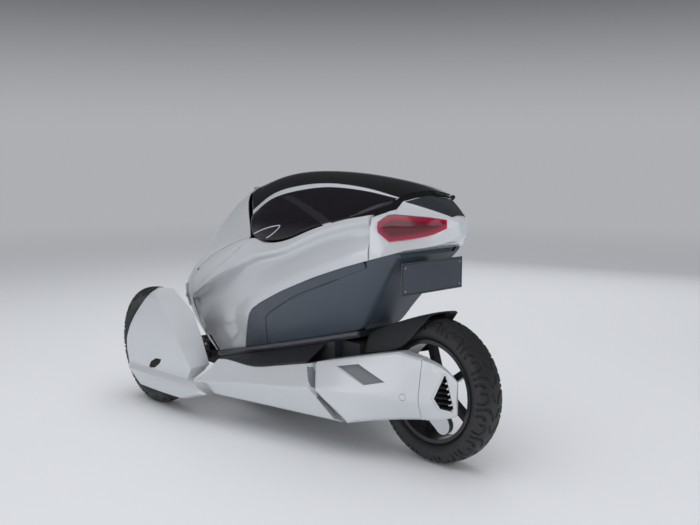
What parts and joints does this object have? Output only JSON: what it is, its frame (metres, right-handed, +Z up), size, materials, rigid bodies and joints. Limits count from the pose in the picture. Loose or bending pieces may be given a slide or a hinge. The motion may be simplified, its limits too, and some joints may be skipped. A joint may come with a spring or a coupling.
{
  "type": "three-wheeled single-seat electric car",
  "caption": "Closed single-seat electric three-wheeler: faired steered front wheels, a driven rear wheel on a one-sided arm and a tinted canopy that tips forward.",
  "frame": {"origin": "centre of the bounding box in plan, on the ground", "axes": "+X forward, +Y to the car's left, +Z up; the wheels spin about Y"},
  "size_m": [2.288, 1.004, 1.2609],
  "materials": {
    "white_paint": "pearl white gloss",
    "slate_panel": "satin blue grey",
    "dark_frame": "matte",
    "sill": "satin",
    "black_trim": "gloss",
    "tinted_glass": "smoked",
    "red_lens": "clear red",
    "lamp_lens": "clear",
    "plate": "satin",
    "steel": "machined",
    "hub_alloy": "satin",
    "battery_case": "matte",
    "rim_black": "satin black",
    "tyre": "matte",
    "seat_cover": "dark",
    "head_cover": "red"
  },
  "bodies": {
    "body": {"side_wall_left": "white_paint", "side_wall_right": "white_paint", "nose_cowl": "white_paint", "hood": "white_paint", "tail_cowl": "white_paint", "pod_left": "white_paint", "pod_right": "white_paint", "swing_arm": "white_paint", "arm_cap": "white_paint", "waist_strips": "slate_panel", "lower_panels": "slate_panel", "rear_bulkhead": "slate_panel", "sill_rails": "sill", "floor_pan": "dark_frame", "front_subframe": "dark_frame", "arm_pivot": "dark_frame", "dash": "dark_frame", "plate_bracket": "dark_frame", "pod_inserts": "dark_frame", "rear_fender": "dark_frame", "seat_shell": "dark_frame", "tail_deck": "black_trim", "arm_grille": "black_trim", "tail_lamps": "red_lens", "headlamps": "lamp_lens", "number_plate": "plate", "rear_axle": "steel", "front_arms": "steel", "hinge_bracket": "steel", "drive_housing": "hub_alloy", "battery_pack": "battery_case", "seat_cushion": "seat_cover", "seat_back": "seat_cover", "headrest": "head_cover"},
    "canopy": {"roof_glass": "tinted_glass", "side_glass": "tinted_glass", "canopy_rails": "white_paint", "canopy_hinge": "steel"},
    "steering_bar": {"handlebar": "dark_frame"},
    "left_knuckle": {"knuckle_left": "steel", "fairing_left": "white_paint"},
    "right_knuckle": {"knuckle_right": "steel", "fairing_right": "white_paint"},
    "left_wheel": {"front_rim_left": "rim_black", "front_tyre_left": "tyre"},
    "right_wheel": {"front_rim_right": "rim_black", "front_tyre_right": "tyre"},
    "rear_wheel": {"rear_rim": "rim_black", "rear_tyre": "tyre"}
  },
  "joints": [
    {"name": "canopy_tip", "type": "hinge", "parent": "body", "child": "canopy", "pos_m": [0.4415, 0, 1.159], "axis": [0, 1, 0], "range_deg": [0, 55]},
    {"name": "left_steer", "type": "hinge", "parent": "body", "child": "left_knuckle", "pos_m": [0.831, 0.328, 0.313], "axis": [0, 0, 1], "range_deg": [-20, 20]},
    {"name": "right_steer", "type": "hinge", "parent": "body", "child": "right_knuckle", "pos_m": [0.831, -0.328, 0.313], "axis": [0, 0, 1], "range_deg": [-20, 20]},
    {"name": "bar_turn", "type": "hinge", "parent": "body", "child": "steering_bar", "pos_m": [0.186, 0, 0.86], "axis": [-0.3966, 0, 0.918], "range_deg": [-20, 20]},
    {"name": "left_wheel_spin", "type": "hinge", "parent": "left_knuckle", "child": "left_wheel", "pos_m": [0.831, 0.4, 0.313], "axis": [0, 1, 0], "continuous": true},
    {"name": "right_wheel_spin", "type": "hinge", "parent": "right_knuckle", "child": "right_wheel", "pos_m": [0.831, -0.4, 0.313], "axis": [0, 1, 0], "continuous": true},
    {"name": "rear_wheel_spin", "type": "hinge", "parent": "body", "child": "rear_wheel", "pos_m": [-0.824, 0, 0.32], "axis": [0, 1, 0], "continuous": true}
  ],
  "couplings": [
    {"joint": "right_steer", "follows": "left_steer", "ratio": 1},
    {"joint": "bar_turn", "follows": "left_steer", "ratio": 1}
  ]
}
